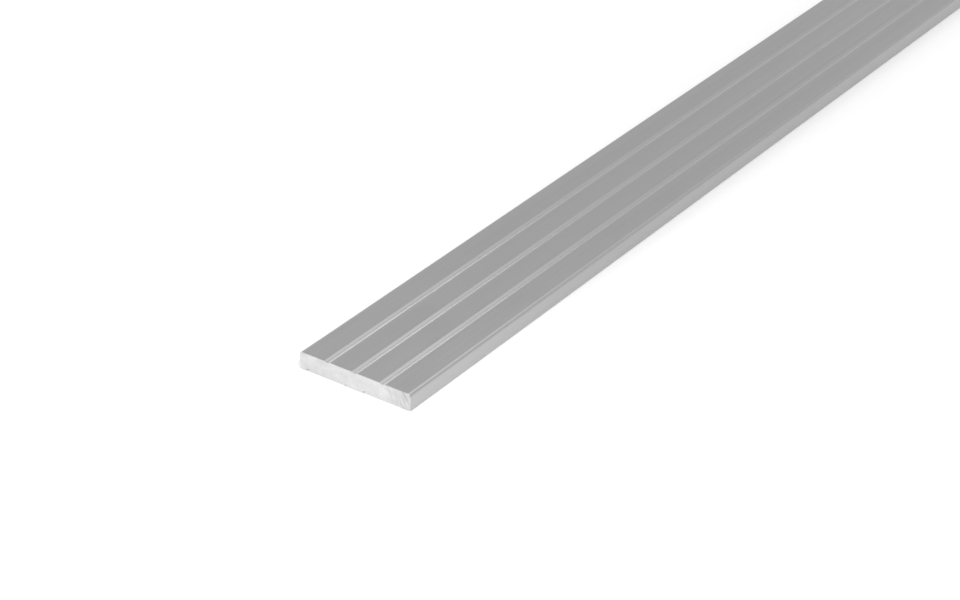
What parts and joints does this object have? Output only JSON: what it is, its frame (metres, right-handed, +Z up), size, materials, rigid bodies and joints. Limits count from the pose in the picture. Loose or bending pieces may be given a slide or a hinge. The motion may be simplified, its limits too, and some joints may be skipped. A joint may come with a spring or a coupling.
{
  "type": "threshold strip",
  "caption": "Flat aluminium floor threshold strip with shallow V-shaped grip grooves along it, square-cut ends and self-adhesive tape underneath.",
  "frame": {"origin": "on the floor under the middle of the strip, level with the lower face of the tape liners", "axes": "+Y along the strip, +X across it from the left edge to the right edge as seen from the -Y end, +Z up from the floor"},
  "size_m": [0.035, 0.9, 0.0051],
  "materials": {
    "aluminium": "satin, as extruded, with sawn ends",
    "foam_tape": "matt pale grey foam",
    "release_liner": "smooth white siliconised film"
  },
  "bodies": {
    "root": {"strip_extrusion": "aluminium", "tape_left": "foam_tape", "tape_right": "foam_tape", "liner_left": "release_liner", "liner_right": "release_liner"}
  },
  "joints": []
}
